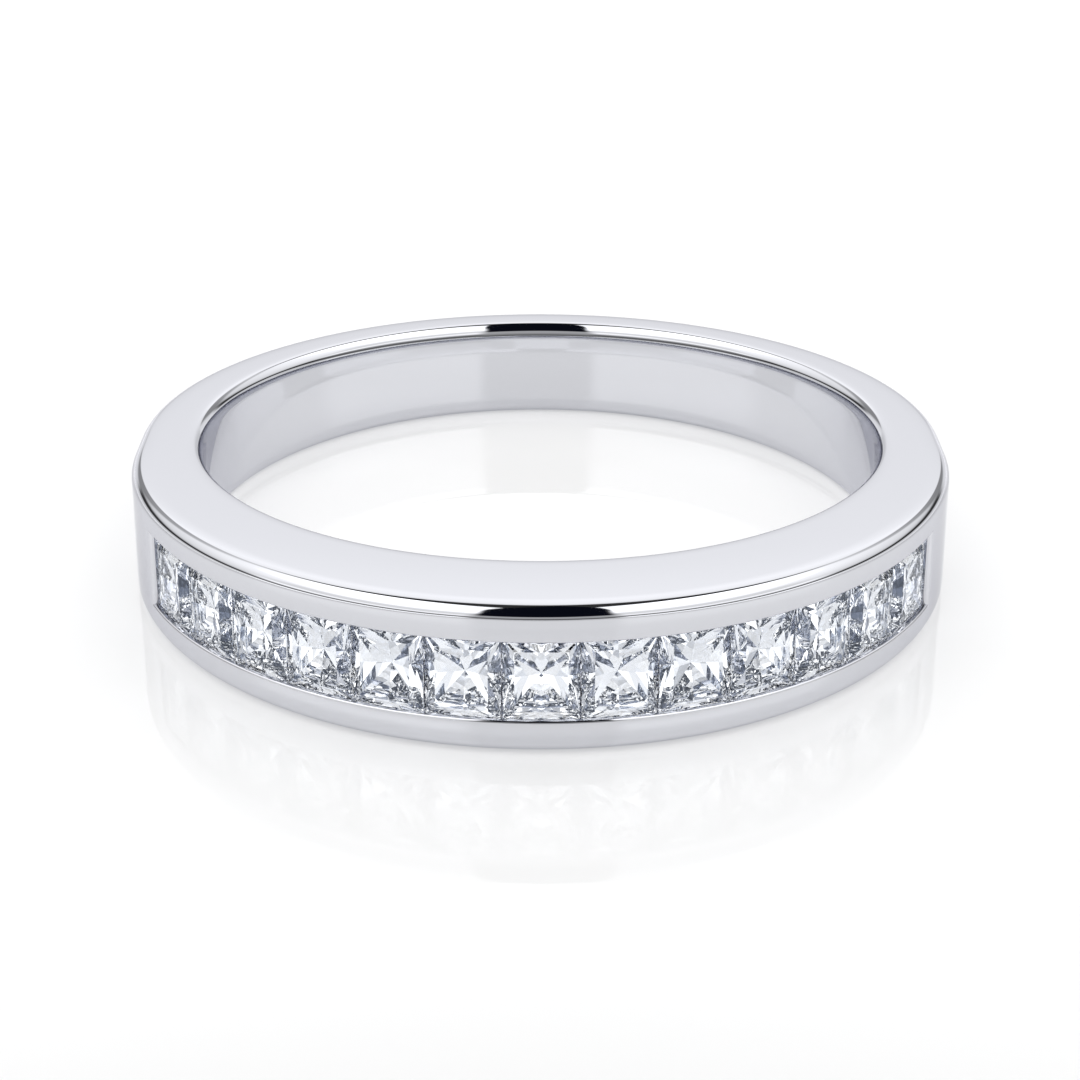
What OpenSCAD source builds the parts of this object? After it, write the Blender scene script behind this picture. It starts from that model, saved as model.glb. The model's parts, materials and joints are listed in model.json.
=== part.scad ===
// Channel set band: a plain finger ring with a row of square stones held in a channel cut in its
// front. It lies on one flat side, as a ring does when it is put down. Sizes are in millimetres.

/* [Finger hollow] */
// Inner diameter of the ring
finger_d = 17.3; // [15:0.1:20]
// Radius of the comfort rounding where the bore meets the flat sides
inner_round = 0.25; // [0.15:0.01:0.5]

/* [Band] */
// Metal between the bore and the outside at the middle of the row
front_wall = 3.0; // [2.8:0.05:4]
// Metal between the bore and the outside at the two sides
side_wall = 1.6; // [1.4:0.05:2.1]
// Metal between the bore and the outside at the back
back_wall = 1.35; // [1.2:0.05:2.2]
// Width along the finger at the front
front_w = 3.55; // [3.1:0.05:4.5]
// Width along the finger at the back
back_w = 2.65; // [2:0.05:3.4]
// Radius of the rounding along the outer edges
outer_round = 0.25; // [0.1:0.01:0.4]

/* [Channel] */
// Opening between the two rails
channel_w = 1.9; // [1.5:0.01:2.2]
// Bevel along the inner edges of the rails
rail_bevel = 0.05; // [0.02:0.01:0.1]
// Bevel at the two square ends of the channel
end_bevel = 0.12; // [0.04:0.01:0.2]
// Space between the last stone and the end of the channel
end_gap = 0.24; // [0.03:0.01:0.3]
// How far the rim of a stone reaches under each rail
rail_grip = 0.04; // [0.02:0.01:0.1]
// Space between a stone and the groove that holds it
seat_play = 0.02; // [0.01:0.005:0.03]
// Space between the points of the stones and the floor of the channel
point_gap = 0.15; // [0.05:0.01:0.3]

/* [Stones] */
// Length of a stone along the row
stone_l = 1.71; // [1.4:0.01:1.9]
// Space between neighbouring stones at their rims
stone_gap = 0.03; // [0.02:0.005:0.08]
// Depth of the flat tables below the outside of the band
stone_recess = 0.04; // [0.01:0.01:0.15]
// Width of the sloping border between table and rim
border_w = 0.26; // [0.15:0.01:0.4]
// Height of the part above the rim
crown_h = 0.17; // [0.1:0.01:0.3]
// Thickness of the rim
rim_h = 0.05; // [0.02:0.01:0.1]
// Depth of the part below the rim, down to the point
pavilion_h = 1; // [0.7:0.01:1.2]

/* [Hidden] */
NODES = [
    "band",
    "stone_01", "stone_02", "stone_03", "stone_04", "stone_05", "stone_06", "stone_07",
    "stone_08", "stone_09", "stone_10", "stone_11", "stone_12", "stone_13"
];
$fn = 180;
stone_count = len(NODES) - 1;

// The outline is two half circles joined by short straights
finger_r = finger_d / 2;
round_r = finger_r + side_wall;
front_y = -(finger_r + front_wall);
back_y = finger_r + back_wall;
front_c = front_y + round_r;
back_c = back_y - round_r;

// The two flat sides lean towards each other at the back
taper = atan((front_w - back_w) / 2 / (back_y - front_y));
function half_w(y) = front_w / 2 - (y - front_y) * tan(taper);

// Radii of the row, from the centre of the front half circle
rim_top_r = round_r - stone_recess - crown_h;
rim_low_r = rim_top_r - rim_h;
stone_w = channel_w + 2 * rail_grip;
pitch = 2 * atan((stone_l + stone_gap) / 2 / rim_low_r);
row_half = stone_count / 2 * pitch + end_gap / rim_top_r * 180 / PI;
channel_r = rim_low_r - pavilion_h - point_gap;

// Chevron cuts below the rim, each at a share of the depth with a share of the half width
CHEVRONS = [[0.16, 0.9], [0.4, 0.68], [0.7, 0.37]];
// Middle of each sloping border: share of its height, share of its width
BORDER_MID = [0.6, 0.46];

// The groove clears the rim and the slopes above and below it
groove_deep = rail_grip + seat_play;
groove_half = channel_w / 2 + groove_deep;
rise = crown_h * BORDER_MID[0] / (border_w * BORDER_MID[1]);
fall = pavilion_h * CHEVRONS[0][0] / (stone_w / 2 * (1 - CHEVRONS[0][1]));
groove_top_r = rim_top_r / cos(pitch / 2) + groove_deep * rise;
groove_low_r = rim_low_r - groove_deep * fall;

// An edge rounding starts and ends a little short of tangent
ease_wall = 15;
ease_face = 80;
over = 1;

// Moves a ring drawn round its bore to where it lies on its flat side
module lying() {
    translate([0, (front_wall - back_wall) / 2, half_w(0) * cos(taper)])
        rotate([-taper, 0, 0])
            children();
}

// Places something on the upper and on the lower flat side, in line with the wall at a depth below
module both_sides(depth) {
    for (side = [0, 1])
        mirror([0, 0, side])
            translate([0, 0, half_w(0)])
                rotate([-taper, 0, 0])
                    translate([0, depth * sin(taper), 0])
                        children();
}

// Sweeps a section along the outline of the band
module along_outline() {
    translate([0, front_c, 0])
        rotate([0, 0, 180])
            rotate_extrude(angle = 180)
                children();
    translate([0, back_c, 0])
        rotate_extrude(angle = 180)
            children();
    for (side = [0, 1])
        mirror([side, 0, 0])
            translate([0, back_c, 0])
                rotate([90, 0, 0])
                    linear_extrude(back_c - front_c)
                        children();
}

// Waste outside the rounding of the outer edge, with the flat side at height zero
module outer_edge_waste() {
    centre_r = round_r - outer_round * cos(ease_wall);
    centre_z = -outer_round * sin(ease_face);
    difference() {
        translate([centre_r, centre_z])
            square([outer_round + over, over]);
        translate([centre_r, centre_z])
            circle(outer_round);
    }
}

// Waste inside the comfort rounding of the bore, with the flat side at height zero
module inner_edge_waste() {
    centre_r = finger_r + inner_round * cos(ease_wall);
    centre_z = -inner_round * sin(ease_face);
    difference() {
        translate([finger_r - over, centre_z])
            square([centre_r - finger_r + over, over]);
        translate([centre_r, centre_z])
            circle(inner_round);
    }
}

// Solid outline of the ring between its two leaning sides
module blank() {
    intersection() {
        linear_extrude(front_w + back_w, center = true) {
            translate([0, front_c])
                circle(round_r);
            translate([0, back_c])
                circle(round_r);
            translate([-round_r, front_c])
                square([2 * round_r, back_c - front_c]);
        }
        rotate([90, 0, 90])
            linear_extrude(2 * round_r + 2 * over, center = true)
                polygon([
                    [front_y - over, -half_w(front_y - over)],
                    [back_y + over, -half_w(back_y + over)],
                    [back_y + over, half_w(back_y + over)],
                    [front_y - over, half_w(front_y - over)]
                ]);
    }
}

// Upper half of the channel's section: floor, wall, groove for the rims and bevelled mouth
function channel_side() = [
    [channel_r, channel_w / 2],
    [groove_low_r, channel_w / 2],
    [groove_low_r, groove_half],
    [groove_top_r, groove_half],
    [groove_top_r, channel_w / 2],
    [round_r - rail_bevel, channel_w / 2],
    [round_r + over, channel_w / 2 + rail_bevel + over]
];

// Turns something to an angle along the row, where zero is the middle of the front
module at_row(angle) {
    translate([0, front_c, 0])
        rotate([0, 0, angle - 90])
            children();
}

// Waste of the channel that the stones sit in
module channel_waste() {
    upper = channel_side();
    lower = [for (i = [len(upper) - 1 : -1 : 0]) [upper[i][0], -upper[i][1]]];
    at_row(-row_half)
        rotate_extrude(angle = 2 * row_half)
            polygon(concat(upper, lower));
    for (side = [0, 1])
        mirror([side, 0, 0])
            at_row(row_half)
                linear_extrude(channel_w, center = true)
                    polygon([
                        [round_r - end_bevel, -over / 2],
                        [round_r - end_bevel, 0],
                        [round_r + over, end_bevel + over],
                        [round_r + over, -over / 2]
                    ]);
}

module band() {
    color("gainsboro")
        lying()
            difference() {
                blank();
                cylinder(r = finger_r, h = front_w + back_w, center = true);
                both_sides(outer_round)
                    along_outline()
                        outer_edge_waste();
                both_sides(inner_round)
                    rotate_extrude()
                        inner_edge_waste();
                channel_waste();
            }
}

// Corners of a rectangle with half sizes a and b at height z
function corners(a, b, z) = [[a, b, z], [-a, b, z], [-a, -b, z], [a, -b, z]];

// Middles of its four sides, in the same turn: far side, left, near, right
function middles(a, b, z) = [[0, b, z], [-a, 0, z], [0, -b, z], [a, 0, z]];

// One square cut stone with its table facing out along +Z and its rim's top at height zero
module cut_stone() {
    a = stone_l / 2;
    b = stone_w / 2;
    mid_in = BORDER_MID[1] * border_w;
    points = concat(
        corners(a - border_w, b - border_w, crown_h),
        middles(a - mid_in, b - mid_in, BORDER_MID[0] * crown_h),
        corners(a, b, 0),
        corners(a, b, -rim_h),
        [for (c = CHEVRONS) each middles(a * c[1], b * c[1], -rim_h - c[0] * pavilion_h)],
        [[0, 0, -rim_h - pavilion_h]]
    );
    table = 0;
    mid = 4;
    rim = 8;
    low = 12;
    cut = 16;
    point = cut + 4 * len(CHEVRONS);
    last = point - 4;
    faces = concat(
        [[3, 2, 1, 0]],
        [for (i = [0 : 3]) let (j = (i + 1) % 4) each [
            [table + i, table + j, mid + i],
            [table + j, rim + j, mid + i],
            [rim + j, rim + i, mid + i],
            [rim + i, table + i, mid + i],
            [rim + i, rim + j, low + j, low + i],
            [low + i, low + j, cut + i],
            [low + i, last + i, point],
            [low + j, point, last + i]
        ]],
        [for (i = [0 : 3], k = [0 : len(CHEVRONS) - 2]) let (j = (i + 1) % 4, c = cut + 4 * k + i) each [
            [low + i, c, c + 4],
            [low + j, c + 4, c]
        ]]
    );
    polyhedron(points, faces);
}

// A stone at its place in the row, counted from the left
module stone(number) {
    angle = (number - (stone_count + 1) / 2) * pitch;
    color("aliceblue")
        lying()
            at_row(angle)
                translate([rim_top_r, 0, 0])
                    rotate([90, 0, 90])
                        cut_stone();
}

band();
for (number = [1 : stone_count]) stone(number);
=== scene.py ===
import json
import math

import bmesh
import bpy
from mathutils import Matrix, Vector


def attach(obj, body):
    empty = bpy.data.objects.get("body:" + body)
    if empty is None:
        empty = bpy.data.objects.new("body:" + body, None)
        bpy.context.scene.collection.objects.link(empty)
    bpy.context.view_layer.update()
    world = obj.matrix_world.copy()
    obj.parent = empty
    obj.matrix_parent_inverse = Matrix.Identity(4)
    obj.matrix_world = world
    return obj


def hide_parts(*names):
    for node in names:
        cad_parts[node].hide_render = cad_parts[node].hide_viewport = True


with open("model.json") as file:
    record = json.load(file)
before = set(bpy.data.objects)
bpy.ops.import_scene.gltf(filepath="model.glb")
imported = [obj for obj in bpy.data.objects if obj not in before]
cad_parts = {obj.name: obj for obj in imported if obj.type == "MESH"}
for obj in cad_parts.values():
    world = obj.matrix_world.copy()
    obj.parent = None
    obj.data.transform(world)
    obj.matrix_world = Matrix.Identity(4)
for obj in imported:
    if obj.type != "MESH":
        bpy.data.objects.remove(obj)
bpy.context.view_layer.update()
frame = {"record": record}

# A channel set ring on a glossy white table, seen from a little above with its stones to the front.
# Meshes are made in millimetres round the finger hole, then laid on the table and turned to metres.


def toLinear(hexColour):
    parts = [int(hexColour[i:i + 2], 16) / 255 for i in (0, 2, 4)]
    return (*[p / 12.92 if p <= 0.04045 else ((p + 0.055) / 1.055) ** 2.4 for p in parts], 1.0)


def addNode(tree, kind, values=None, links=None, **settings):
    node = tree.nodes.new(kind)
    for name, value in settings.items():
        setattr(node, name, value)
    for name, value in (values or {}).items():
        node.inputs[name].default_value = value
    for name, socket in (links or {}).items():
        tree.links.new(socket, node.inputs[name])
    return node


def startMaterial(name):
    material = bpy.data.materials.new(name)
    material.use_nodes = True
    material.node_tree.nodes.clear()
    return material, material.node_tree


def setStops(ramp, stops):
    while len(ramp.elements) > 1:
        ramp.elements.remove(ramp.elements[-1])
    for i, (place, value) in enumerate(stops):
        stop = ramp.elements[0] if i == 0 else ramp.elements.new(place)
        stop.position = place
        stop.color = (value, value, value, 1)


# How the ring lies: its bore leans a little, because its two sides draw together at the back.
bore = next(mount for mount in frame["record"]["mounts"] if mount["name"] == "finger_bore")
lean = Vector((0, 0, 1)).rotation_difference(Vector(bore["axis"])).to_matrix().to_4x4()
layDown = Matrix.Translation(bore["pos_m"]) @ lean @ Matrix.Scale(0.001, 4)


def finishPiece(bm, name, material, nodes, sharpAngle):
    # edges that turn more than sharpAngle degrees stay sharp
    bmesh.ops.recalc_face_normals(bm, faces=bm.faces)
    for face in bm.faces:
        face.smooth = True
    for edge in bm.edges:
        edge.smooth = edge.calc_face_angle(math.pi) < math.radians(sharpAngle)
    bmesh.ops.transform(bm, matrix=layDown, verts=bm.verts)
    mesh = bpy.data.meshes.new(name)
    bm.to_mesh(mesh)
    bm.free()
    piece = bpy.data.objects.new(name, mesh)
    bpy.context.scene.collection.objects.link(piece)
    mesh.materials.append(material)
    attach(piece, "root")
    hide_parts(*nodes)
    print(f"{name}: {len(mesh.polygons)} faces")
    return piece


# Rhodium plated 18 carat white gold, cast and then polished to a mirror: nearly neutral and very
# bright, with faint waves left by the buffing wheel.
whiteGoldLook = {
    "colour": "D5D6DB",
    "edgeColour": "EDEDF0",     # how much of the glancing mirror stays
    "roughness": (0.02, 0.05),
    "waveMm": 1.6,
    "waveStrength": 0.02,
    "waveHeight": 0.00001,      # metres
}


def makeWhiteGold():
    look = whiteGoldLook
    material, tree = startMaterial("rhodiumPlatedWhiteGold")
    place = addNode(tree, "ShaderNodeTexCoord").outputs["Object"]
    waves = addNode(tree, "ShaderNodeTexNoise", {"Scale": 1000 / look["waveMm"], "Detail": 2.0},
                    {"Vector": place}).outputs["Fac"]
    polish = addNode(tree, "ShaderNodeMapRange",
                     {"To Min": look["roughness"][0], "To Max": look["roughness"][1]},
                     {"Value": waves}).outputs["Result"]
    relief = addNode(tree, "ShaderNodeBump",
                     {"Strength": look["waveStrength"], "Distance": look["waveHeight"]},
                     {"Height": waves}).outputs["Normal"]
    shader = addNode(tree, "ShaderNodeBsdfPrincipled",
                     {"Base Color": toLinear(look["colour"]), "Metallic": 1.0,
                      "Specular Tint": toLinear(look["edgeColour"])},
                     {"Roughness": polish, "Normal": relief})
    addNode(tree, "ShaderNodeOutputMaterial", links={"Surface": shader.outputs[0]})
    return material


# Colourless brilliant diamond, cut and polished: clear, with the strongest sparkle of all stones.
# Its faces mirror less than a bare diamond's, and more blue than red, so the dark facets stay deep.
diamondLook = {"colour": "F4F8FF", "ior": 2.417, "mirrorColour": "ACB7CB"}


def makeDiamond():
    look = diamondLook
    material, tree = startMaterial("polishedDiamond")
    shader = addNode(tree, "ShaderNodeBsdfPrincipled",
                     {"Base Color": toLinear(look["colour"]), "Roughness": 0.0,
                      "IOR": look["ior"], "Transmission Weight": 1.0,
                      "Specular Tint": toLinear(look["mirrorColour"])})
    addNode(tree, "ShaderNodeOutputMaterial", links={"Surface": shader.outputs[0]})
    return material


# The band, in millimetres
band = {
    "frontWall": 3.0, "sideWall": 1.6, "backWall": 1.35,
    "frontWidth": 3.55, "backWidth": 2.65,
    "outerRound": 0.27,     # along the two outer edges
    "innerRound": 0.18,     # along the two edges of the finger hole
    "flatRoll": (0.35, 4.0),    # the flat sides roll over before that: how far in, and how round
    "wallRoll": (0.3, 1.0),     # the same on the wall of the finger hole
    "rollSteps": 4, "roundSteps": 8,
    "rowStations": 60, "restStations": 110,     # to the channel's end, and from there to the back
    "sharpAngle": 40,
}

# The channel, in millimetres. Its radii are from the middle of the front half circle.
channel = {
    "opening": 1.9,
    "halfAngle": 66.07,
    "grooveTop": 10.129, "grooveLow": 9.893, "grooveDeep": 0.06,    # it holds the rims of the stones
    "floor": 8.84,
    "endRamp": 0.07,        # how far each end leans out on its way up
    "mouthRound": 0.06, "mouthSteps": 3,
    "slack": 0.001,         # how close counts as the same place
}

fingerR = bore["dims"]["r_mm"]
roundR = fingerR + band["sideWall"]
frontY = -fingerR - band["frontWall"]
backY = fingerR + band["backWall"]
frontC = frontY + roundR
backC = backY - roundR
sideSlope = (band["frontWidth"] - band["backWidth"]) / 2 / (backY - frontY)


def halfWidth(y):
    return band["frontWidth"] / 2 - (y - frontY) * sideSlope


def outlineR(turn):
    # distance from the middle of the finger hole to the outside, where turn is from the front
    sine, cosine = math.sin(turn), math.cos(turn)
    front = -frontC * cosine + math.sqrt(roundR ** 2 - (frontC * sine) ** 2)
    back = -backC * cosine + math.sqrt(roundR ** 2 - (backC * sine) ** 2)
    if -front * cosine < frontC:
        return front
    if -back * cosine > backC:
        return back
    return roundR / abs(sine)


def rowTurn(angle):
    # turn round the finger hole of a point on the outside at this angle along the row
    return math.atan2(roundR * math.sin(angle), roundR * math.cos(angle) - frontC)


def stationTurns():
    # turns from the front to the back, with one station at the end of the channel and one at its ramp
    end = math.radians(channel["halfAngle"])
    endTurn, rampTurn = rowTurn(end), rowTurn(end + channel["endRamp"] / roundR)
    row = [endTurn * i / band["rowStations"] for i in range(band["rowStations"] + 1)]
    left = math.pi - rampTurn
    rest = [rampTurn + left * i / band["restStations"] for i in range(band["restStations"] + 1)]
    return row + rest


def sectionPoints():
    # one quarter of the section, from the middle of the bore to the middle of the outside:
    # each point is held by the inner (0) or outer (1) wall and by the middle (0) or the side (1)
    flatIn, wallIn = band["flatRoll"][0], band["wallRoll"][0]
    innerRound, outerRound, rollSteps = band["innerRound"], band["outerRound"], band["rollSteps"]
    steps = range(rollSteps, 0, -1)
    points = [(0, 0, 0, 0)]
    points += [(0, 0, 1, -innerRound - wallIn * i / rollSteps) for i in steps]
    points += [(0, 0, 1, 0)]
    points += [(0, innerRound + flatIn * i / rollSteps, 1, 0) for i in reversed(steps)]
    points += [(1, -outerRound - flatIn * i / rollSteps, 1, 0) for i in steps]
    points += [(1, 0, 1, 0)]
    points += [(1, 0, 0, channel["opening"] / 2)]
    return points


def rollDrop(distance, start, roll):
    # how far a surface has rolled down at this distance from its edge
    reach, radius = roll
    return max(0, start + reach - distance) ** 2 / (2 * radius)


def rollEdges(bm):
    for vert in bm.verts:
        radius = math.hypot(vert.co.x, vert.co.y)
        turn = math.atan2(vert.co.x, -vert.co.y)
        fromBore, fromOutside = radius - fingerR, outlineR(turn) - radius
        fromSide = halfWidth(vert.co.y) - abs(vert.co.z)
        side = math.copysign(1, vert.co.z)
        nearSide = max(0, 1 - fromSide / (2 * band["outerRound"]))
        nearBore = max(0, 1 - fromBore / (2 * band["innerRound"]))
        sink = rollDrop(fromOutside, band["outerRound"], band["flatRoll"])
        sink += rollDrop(fromBore, band["innerRound"], band["flatRoll"])
        grow = rollDrop(fromSide, band["innerRound"], band["wallRoll"]) * nearBore
        vert.co.z -= side * sink * nearSide
        vert.co.x *= 1 + grow / radius
        vert.co.y *= 1 + grow / radius


def sinkFaces(bm, faces, place):
    # pushes faces in: the new floor's points are put where place says
    grown = bmesh.ops.extrude_face_region(bm, geom=faces)["geom"]
    bmesh.ops.delete(bm, geom=faces, context="FACES_ONLY")
    for vert in grown:
        if isinstance(vert, bmesh.types.BMVert):
            vert.co = place(vert.co)
    return [face for face in grown if isinstance(face, bmesh.types.BMFace)]


def rowPlace(co):
    # angle along the row and distance from the middle of the front half circle
    return math.atan2(co.x, frontC - co.y), math.hypot(co.x, co.y - frontC)


def atRow(angle, radius, z):
    return Vector((radius * math.sin(angle), frontC - radius * math.cos(angle), z))


def cutChannel(bm):
    half = channel["opening"] / 2
    end = math.radians(channel["halfAngle"])
    ramp = end + channel["endRamp"] / roundR
    slack = channel["slack"]

    def inMouth(face, limit):
        centre = face.calc_center_median()
        angle, radius = rowPlace(centre)
        return abs(centre.z) < half and abs(angle) < limit and radius > channel["grooveTop"] - slack

    def toRadius(radius):
        def place(co):
            angle = rowPlace(co)[0]
            return co.copy() if abs(angle) > end + slack / 2 else atRow(angle, radius, co.z)
        return place

    mouth = sinkFaces(bm, [f for f in bm.faces if inMouth(f, ramp)], toRadius(channel["grooveTop"]))
    row = [f for f in mouth if abs(rowPlace(f.calc_center_median())[0]) < end]
    row = sinkFaces(bm, row, toRadius(channel["grooveLow"]))
    sinkFaces(bm, row, toRadius(channel["floor"]))
    bmesh.ops.remove_doubles(bm, verts=bm.verts, dist=slack / 10)
    bm.normal_update()

    def isGroove(face, side):
        centre = face.calc_center_median()
        radius = rowPlace(centre)[1]
        return (abs(centre.z - side * half) < slack
                and channel["grooveLow"] < radius < channel["grooveTop"])

    for side in (-1, 1):
        walls = [f for f in bm.faces if isGroove(f, side)]
        sinkFaces(bm, walls, lambda co: co + Vector((0, 0, side * channel["grooveDeep"])))

    def isMouth(edge):
        places = [rowPlace(v.co) for v in edge.verts]
        if any(abs(radius - roundR) > slack for angle, radius in places):
            return False
        if any(abs(v.co.z) > half + slack for v in edge.verts):
            return False
        atEnd = all(abs(abs(angle) - ramp) < slack for angle, radius in places)
        alongRail = all(abs(abs(v.co.z) - half) < slack for v in edge.verts)
        inside = all(abs(angle) < ramp + slack for angle, radius in places)
        return atEnd or (alongRail and inside)

    bmesh.ops.bevel(bm, geom=[e for e in bm.edges if isMouth(e)], affect="EDGES",
                    offset=channel["mouthRound"], segments=channel["mouthSteps"],
                    profile=0.5, material=-1, clamp_overlap=True)


def makeBand(material):
    # a plain round tube is spun first, and then each of its points is put in place
    turns = stationTurns()
    last = len(turns) - 1
    quarter = sectionPoints()
    mirrored = [(wall, out, -edge, -along) for wall, out, edge, along in reversed(quarter)]
    section = quarter + mirrored[:-1]
    bm = bmesh.new()
    index = bm.verts.layers.int.new("section")
    ring = []
    for i in range(len(section)):
        angle = 2 * math.pi * i / len(section)
        vert = bm.verts.new((0, -fingerR - 1 - math.cos(angle), math.sin(angle)))
        vert[index] = i
        ring.append(vert)
    edges = [bm.edges.new((ring[i - 1], ring[i])) for i in range(len(ring))]
    bmesh.ops.spin(bm, geom=ring + edges, cent=(0, 0, 0), axis=(0, 0, 1),
                   angle=2 * math.pi, steps=2 * last, use_merge=True)
    for vert in bm.verts:
        station = round(math.atan2(vert.co.x, -vert.co.y) * last / math.pi)
        turn = math.copysign(turns[abs(station)], station)
        wall, out, edge, along = section[vert[index]]
        radius = (outlineR(turn) if wall else fingerR) + out
        y = -radius * math.cos(turn)
        vert.co = (radius * math.sin(turn), y, edge * halfWidth(y) + along)
    bmesh.ops.recalc_face_normals(bm, faces=bm.faces)
    for wall, width in ((0, band["innerRound"]), (1, band["outerRound"])):
        corners = [i for i, p in enumerate(section)
                   if p[:2] == (wall, 0) and abs(p[2]) == 1 and p[3] == 0]
        loops = [e for e in bm.edges
                 if e.verts[0][index] == e.verts[1][index] and e.verts[0][index] in corners]
        bmesh.ops.bevel(bm, geom=loops, affect="EDGES", offset=width, segments=band["roundSteps"],
                        profile=0.5, material=-1, clamp_overlap=True)
    cutChannel(bm)
    rollEdges(bm)
    piece = finishPiece(bm, "polished_band", material, ["band"],
                        band["sharpAngle"])
    piece.modifiers.new("evenNormals", "WEIGHTED_NORMAL").keep_sharp = True
    return piece


# The princess cut stones, in millimetres
stone = {
    "count": 13,
    "length": 1.71, "width": 1.98,
    "gap": 0.03,
    "crown": 0.17, "rim": 0.05, "pavilion": 1.0,
    "rimTopR": 10.04,
    "border": 0.26,
    "borderBreak": (0.54, 0.49),     # share of the crown's height, share of the border
    "chevrons": ((0.16, 0.9), (0.4, 0.68), (0.7, 0.37)),    # share of the depth, share of half a side
    "sharpAngle": 0.01,
}


def cutFacet(bm, points):
    # grinds one flat facet through three points, and closes the stone again
    a, b, c = points
    normal = (b - a).cross(c - a).normalized()
    inside = Vector((0, 0, -stone["pavilion"] / 3))
    if normal.dot(a - inside) < 0:
        normal.negate()
    cut = bmesh.ops.bisect_plane(bm, geom=bm.verts[:] + bm.edges[:] + bm.faces[:], dist=0.00001,
                                 plane_co=a, plane_no=normal, clear_outer=True)["geom_cut"]
    rim = [e for e in cut if isinstance(e, bmesh.types.BMEdge) and e.is_boundary]
    if rim:
        bmesh.ops.edgeloop_fill(bm, edges=rim)


def cutPrincess():
    s = stone
    low, point = -s["rim"], -s["rim"] - s["pavilion"]
    bm = bmesh.new()
    bmesh.ops.create_cube(bm, size=1)
    bmesh.ops.scale(bm, vec=(s["length"], s["width"], s["crown"] - point), verts=bm.verts)
    bmesh.ops.translate(bm, vec=(0, 0, (s["crown"] + point) / 2), verts=bm.verts)
    breakUp, breakIn = s["borderBreak"]
    for side in range(4):
        turned = Matrix.Rotation(side * math.pi / 2, 3, "Z")
        out, across = (s["width"], s["length"]) if side % 2 == 0 else (s["length"], s["width"])
        out, across = out / 2, across / 2

        def at(x, y, z):
            return turned @ Vector((x, y, z))

        tableLeft, tableRight = (at(x, out - s["border"], s["crown"])
                                 for x in (s["border"] - across, across - s["border"]))
        rimLeft, rimRight = at(-across, out, 0), at(across, out, 0)
        middle = at(0, out - s["border"] * breakIn, s["crown"] * breakUp)
        cutFacet(bm, (tableLeft, tableRight, middle))
        cutFacet(bm, (tableRight, rimRight, middle))
        cutFacet(bm, (tableLeft, rimLeft, middle))
        cutFacet(bm, (rimLeft, rimRight, middle))
        ladder = [at(0, out * share, low - depth * s["pavilion"]) for depth, share in s["chevrons"]]
        ladder.append(at(0, 0, point))
        lowLeft, lowRight = at(-across, out, low), at(across, out, low)
        cutFacet(bm, (lowLeft, lowRight, ladder[0]))
        for upper, lower in zip(ladder, ladder[1:]):
            cutFacet(bm, (lowLeft, upper, lower))
            cutFacet(bm, (lowRight, upper, lower))
    bmesh.ops.dissolve_limit(bm, angle_limit=math.radians(0.1), verts=bm.verts, edges=bm.edges)
    return bm


def makeStones(material):
    pattern = cutPrincess()
    patternMesh = bpy.data.meshes.new("princessCut")
    pattern.to_mesh(patternMesh)
    pattern.free()
    lowR = stone["rimTopR"] - stone["rim"]
    pitch = 2 * math.atan((stone["length"] + stone["gap"]) / 2 / lowR)
    for number in range(1, stone["count"] + 1):
        angle = (number - (stone["count"] + 1) / 2) * pitch
        bm = bmesh.new()
        bm.from_mesh(patternMesh)
        seat = (Matrix.Translation(atRow(angle, stone["rimTopR"], 0))
                @ Matrix.Rotation(angle, 4, "Z")
                @ Matrix.Rotation(math.pi / 2, 4, "X"))
        bmesh.ops.transform(bm, matrix=seat, verts=bm.verts)
        finishPiece(bm, f"princess_{number:02d}", material, [f"stone_{number:02d}"],
                    stone["sharpAngle"])
    bpy.data.meshes.remove(patternMesh)


# A sheet of glossy white acrylic as the table, lit from below as well
table = {"halfSize": 0.6, "colour": "CBCBCB", "glow": 0.32, "roughness": 0.0, "ior": 1.35}


def makeTable():
    bm = bmesh.new()
    bmesh.ops.create_grid(bm, x_segments=1, y_segments=1, size=table["halfSize"])
    mesh = bpy.data.meshes.new("table")
    bm.to_mesh(mesh)
    bm.free()
    material, tree = startMaterial("glossyAcrylic")
    shader = addNode(tree, "ShaderNodeBsdfPrincipled",
                     {"Base Color": toLinear(table["colour"]), "Roughness": table["roughness"],
                      "IOR": table["ior"], "Emission Strength": table["glow"],
                      "Emission Color": (1, 1, 1, 1)})
    addNode(tree, "ShaderNodeOutputMaterial", links={"Surface": shader.outputs[0]})
    mesh.materials.append(material)
    floor = bpy.data.objects.new("table", mesh)
    bpy.context.scene.collection.objects.link(floor)
    print("table ready")


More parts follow.
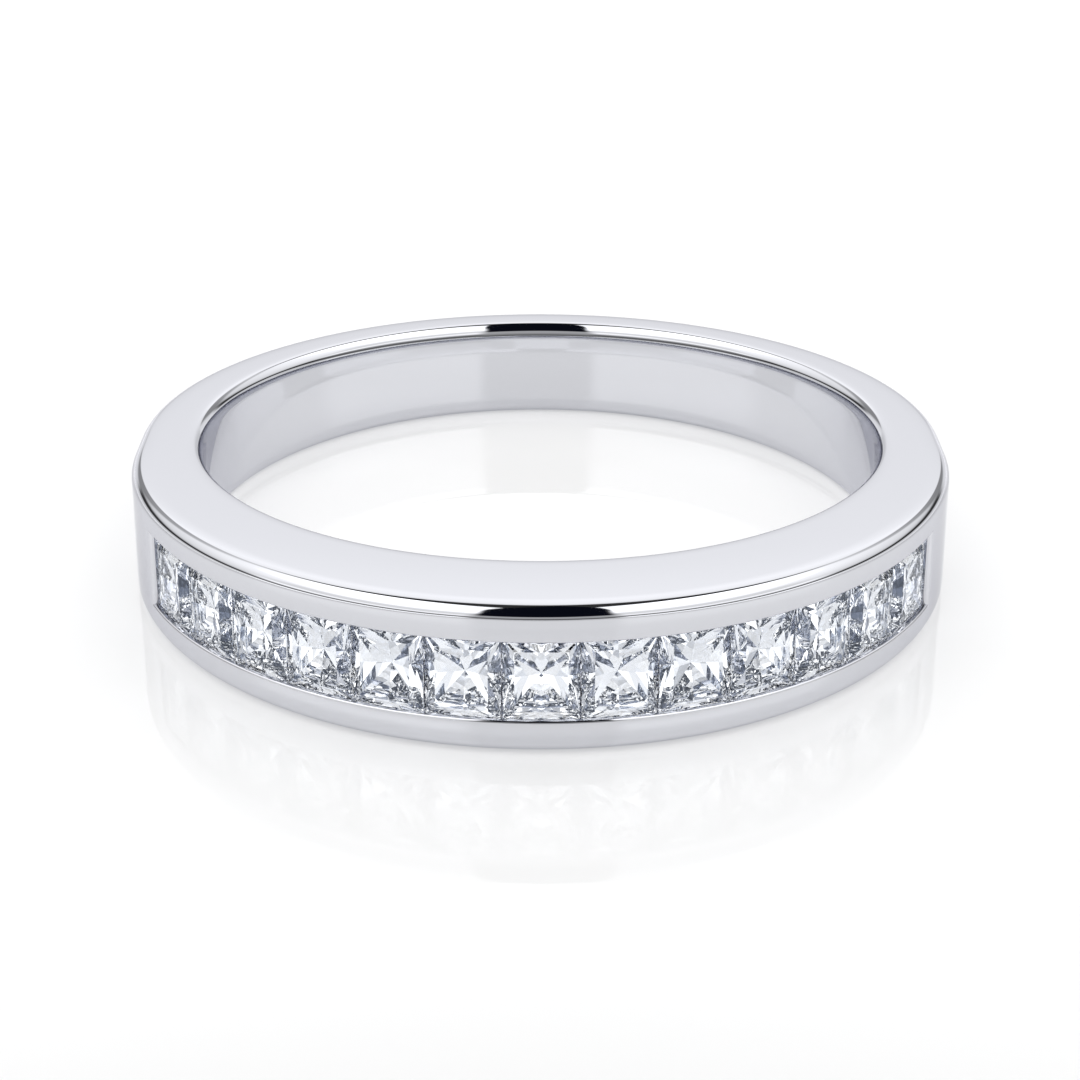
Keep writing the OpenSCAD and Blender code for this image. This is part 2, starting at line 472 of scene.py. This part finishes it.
# The light tent, as columns from the back round to the front: where each one takes over, in degrees
# from the back, and its brightness against the height above the horizon, as the sine of its angle
tent = {
    "columns": (
        ((0, 1), ((0, 0.78), (0.1, 0.88), (0.2, 1.06), (0.34, 1.2), (0.42, 1.42), (0.52, 1.3),
                  (0.57, 1.1), (0.6, 0.04), (1, 0.04))),
        ((17, 20), ((0, 1.1), (0.14, 1.0), (0.22, 0.35), (0.33, 0.35), (0.5, 0.55), (0.6, 0.8),
                    (0.68, 1.4), (0.78, 2.1), (0.87, 2.5), (1, 1.2))),
        ((30, 40), ((0, 0.9), (0.08, 0.8), (0.13, 0.05), (0.23, 0.05), (0.3, 0.8), (0.37, 1.0),
                    (0.52, 1.15), (0.72, 1.4), (0.87, 2.5), (1, 1.6))),
        ((90, 104), ((0, 1.5), (0.04, 1.5), (0.08, 0.3), (0.14, 0.08), (0.22, 0.4), (0.28, 1.2),
                     (0.36, 1.6), (0.43, 1.0), (0.62, 1.0), (0.72, 1.5), (0.87, 2.2), (1, 1.4))),
        ((157, 163), ((0, 0.1), (0.08, 0.12), (0.2, 0.4), (0.3, 0.5), (0.42, 0.5), (0.5, 0.1),
                      (0.6, 0.03), (1, 0.03))),
    ),
    "brightest": 2.5,
    "slotMiddle": 0.018, "slotWidth": 0.16, "slotSpread": 0.145,    # the dark slot for the camera
    "slotRoof": (0.7, 5.0),     # how far it reaches to the back, and how fast it narrows there
    "slotFoot": 0.45,           # how high it starts in front
    "slotBlur": 0.02, "footBlur": 0.03,     # how soft its edges are
    "slotColour": "05060C",
    "throughStones": {"lift": 0.35, "liftTo": 1.0, "boost": 1.42},  # brighter, seen out of a stone
}


def makeTent():
    world = bpy.data.worlds.new("lightTent")
    bpy.context.scene.world = world
    world.use_nodes = True
    tree = world.node_tree
    tree.nodes.clear()
    way = addNode(tree, "ShaderNodeTexCoord").outputs["Generated"]
    x, y, z = addNode(tree, "ShaderNodeSeparateXYZ", links={"Vector": way}).outputs
    fromMiddle = addNode(tree, "ShaderNodeMath", {1: -tent["slotMiddle"]}, {0: x},
                         operation="ADD").outputs[0]
    aside = addNode(tree, "ShaderNodeMath", links={0: fromMiddle}, operation="ABSOLUTE").outputs[0]
    turn = addNode(tree, "ShaderNodeMath", links={0: aside, 1: y}, operation="ARCTAN2").outputs[0]
    around = None
    for (start, full), stops in tent["columns"]:
        ramp = addNode(tree, "ShaderNodeValToRGB", links={"Fac": z})
        setStops(ramp.color_ramp, [(place, value / tent["brightest"]) for place, value in stops])
        share = addNode(tree, "ShaderNodeMapRange",
                        {"From Min": math.radians(start), "From Max": math.radians(full)},
                        {"Value": turn}, interpolation_type="SMOOTHSTEP").outputs["Result"]
        column = ramp.outputs["Color"]
        if around:
            column = addNode(tree, "ShaderNodeMixRGB",
                             links={"Fac": share, "Color1": around, "Color2": column}).outputs[0]
        around = column

    # The slot is wider in front, narrows over the roof and starts above the horizon.
    roofEnd, roofSlope = tent["slotRoof"]
    blur, foot, footBlur = tent["slotBlur"], tent["slotFoot"], tent["footBlur"]
    width = addNode(tree, "ShaderNodeMath", {1: -tent["slotSpread"], 2: tent["slotWidth"]}, {0: y},
                    operation="MULTIPLY_ADD").outputs[0]
    beyond = addNode(tree, "ShaderNodeMath", links={0: aside, 1: width},
                     operation="SUBTRACT").outputs[0]
    within = addNode(tree, "ShaderNodeMapRange", {"From Min": blur, "From Max": -blur},
                     {"Value": beyond}, interpolation_type="SMOOTHSTEP").outputs["Result"]
    roof = addNode(tree, "ShaderNodeMath", {1: roofSlope}, {0: aside, 2: y},
                   operation="MULTIPLY_ADD").outputs[0]
    under = addNode(tree, "ShaderNodeMapRange",
                    {"From Min": roofEnd + blur, "From Max": roofEnd - blur},
                    {"Value": roof}, interpolation_type="SMOOTHSTEP").outputs["Result"]
    above = addNode(tree, "ShaderNodeMapRange",
                    {"From Min": foot - footBlur, "From Max": foot + footBlur},
                    {"Value": z}, interpolation_type="SMOOTHSTEP").outputs["Result"]
    slot = addNode(tree, "ShaderNodeMath", links={0: within, 1: under},
                   operation="MULTIPLY").outputs[0]
    slot = addNode(tree, "ShaderNodeMath", links={0: slot, 1: above},
                   operation="MULTIPLY").outputs[0]
    painted = addNode(tree, "ShaderNodeMixRGB", {"Color2": toLinear(tent["slotColour"])},
                      {"Fac": slot, "Color1": around}).outputs[0]

    # The metal, the stones and the camera each see the tent their own way.
    light = addNode(tree, "ShaderNodeBackground", {"Strength": tent["brightest"]},
                    {"Color": painted}).outputs[0]
    through = tent["throughStones"]
    lifted = addNode(tree, "ShaderNodeMixRGB",
                     {"Fac": through["lift"],
                      "Color2": [through["liftTo"] / tent["brightest"]] * 3 + [1]},
                     {"Color1": painted}).outputs[0]
    sparkle = addNode(tree, "ShaderNodeBackground",
                      {"Strength": tent["brightest"] * through["boost"]},
                      {"Color": lifted}).outputs[0]
    plain = addNode(tree, "ShaderNodeBackground",
                    {"Color": (1, 1, 1, 1), "Strength": 1.0}).outputs[0]
    path = addNode(tree, "ShaderNodeLightPath").outputs
    light = addNode(tree, "ShaderNodeMixShader",
                    links={0: path["Is Transmission Ray"], 1: light, 2: sparkle}).outputs[0]
    seen = addNode(tree, "ShaderNodeMixShader",
                   links={0: path["Is Camera Ray"], 1: light, 2: plain}).outputs[0]
    addNode(tree, "ShaderNodeOutputWorld", links={"Surface": seen})
    print("tent ready")


# The camera, in millimetres and radians, apart from how near and how far it sees, in metres
camera = {
    "place": (-0.172, -61.262, 28.444),
    "down": 0.4313, "right": 0.0027, "roll": 0.0017,
    "lens": 86.67, "film": 36,
    "clip": (0.001, 10),
}


def makeCamera():
    down, right, roll = camera["down"], camera["right"], camera["roll"]
    level = math.cos(down)
    ahead = Vector((math.sin(right) * level, math.cos(right) * level, -math.sin(down)))
    sideways = Vector((math.cos(right), -math.sin(right), 0))
    up = sideways.cross(ahead)
    rightWay = math.cos(roll) * sideways + math.sin(roll) * up
    upWay = rightWay.cross(ahead)
    turned = Matrix((rightWay, upWay, -ahead)).transposed().to_4x4()
    data = bpy.data.cameras.new("camera")
    data.lens = camera["lens"]
    data.sensor_width = camera["film"]
    data.clip_start, data.clip_end = camera["clip"]
    seen = bpy.data.objects.new("camera", data)
    seen.matrix_world = Matrix.Translation(Vector(camera["place"]) / 1000) @ turned
    bpy.context.scene.collection.objects.link(seen)
    bpy.context.scene.camera = seen
    print("camera ready")


def setRender():
    scene = bpy.context.scene
    scene.view_settings.view_transform = "Standard"
    scene.view_settings.look = "None"
    scene.cycles.use_denoising = True
    scene.cycles.max_bounces = 40
    scene.cycles.transmission_bounces = 32
    scene.cycles.glossy_bounces = 16
    scene.cycles.diffuse_bounces = 4
    scene.cycles.caustics_reflective = True
    scene.cycles.caustics_refractive = True
    scene.cycles.blur_glossy = 0.0


makeCamera()
makeTent()
makeTable()
makeBand(makeWhiteGold())
makeStones(makeDiamond())
setRender()
